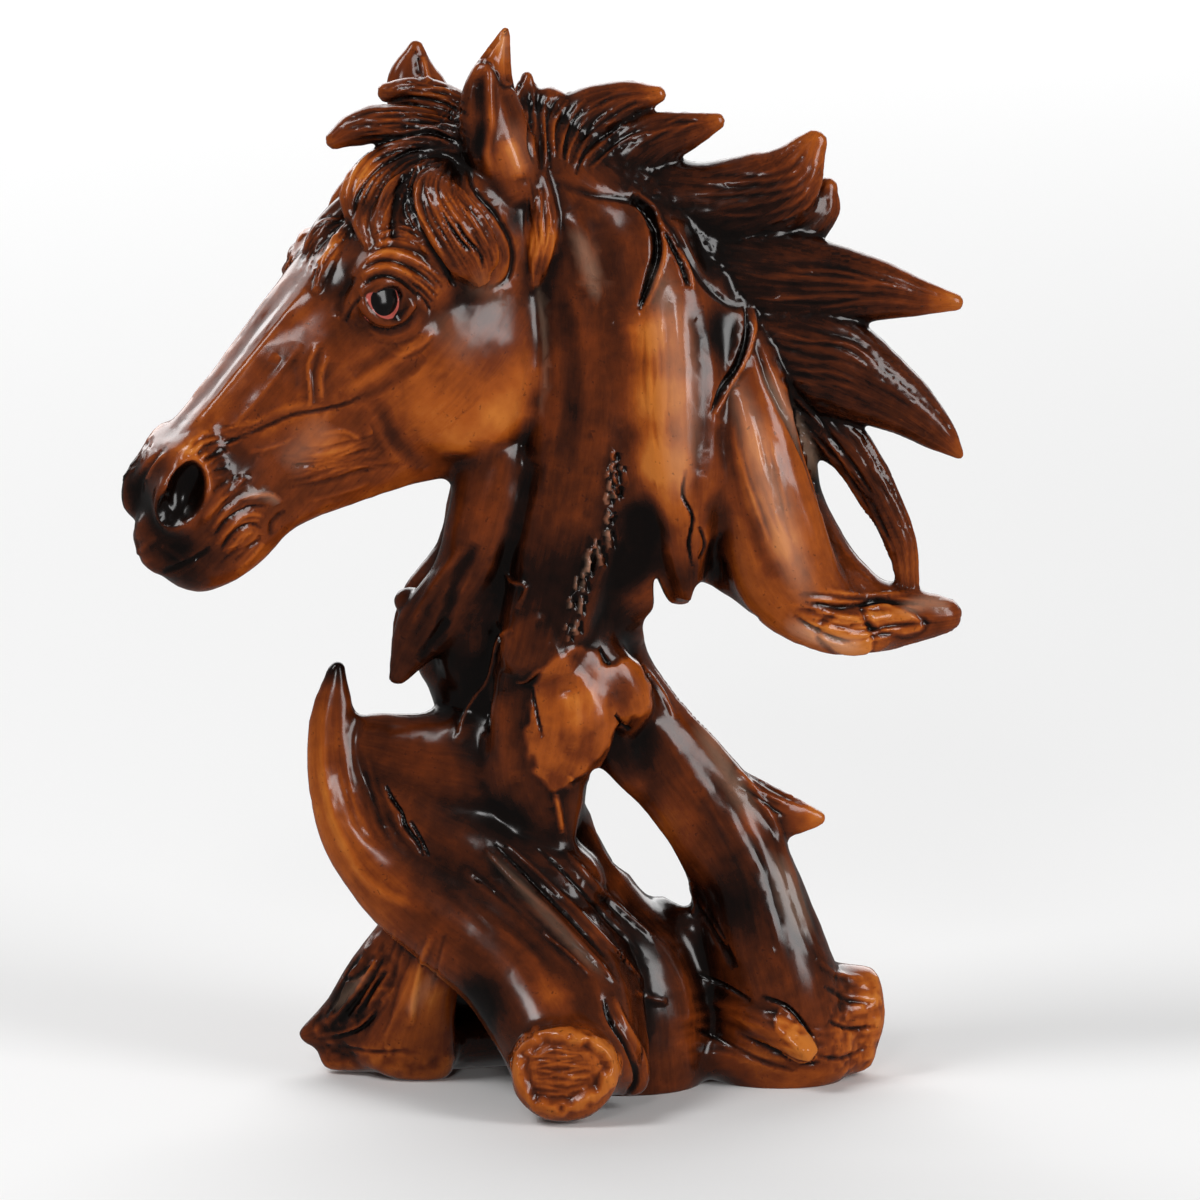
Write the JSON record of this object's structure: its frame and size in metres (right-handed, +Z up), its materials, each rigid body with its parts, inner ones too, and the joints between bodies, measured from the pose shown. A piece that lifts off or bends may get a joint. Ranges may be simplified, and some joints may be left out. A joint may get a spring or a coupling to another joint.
{
  "type": "horse head sculpture",
  "caption": "Horse head sculpture in wood-effect resin: a horse's head and wind-blown mane growing out of a driftwood stand, cast in one piece.",
  "frame": {"origin": "centre of the bounding box on the flat underside of the stand", "axes": "+Z up; +X from the muzzle towards the mane tips; -Y the side that the head turns to and shows its left cheek to"},
  "size_m": [0.21, 0.125, 0.27],
  "materials": {
    "stained_resin": "cast polyresin, stained dark brown to orange like carved wood under a gloss varnish, with painted eyes"
  },
  "bodies": {
    "root": {"horse_head_sculpture": "stained_resin"}
  },
  "joints": []
}
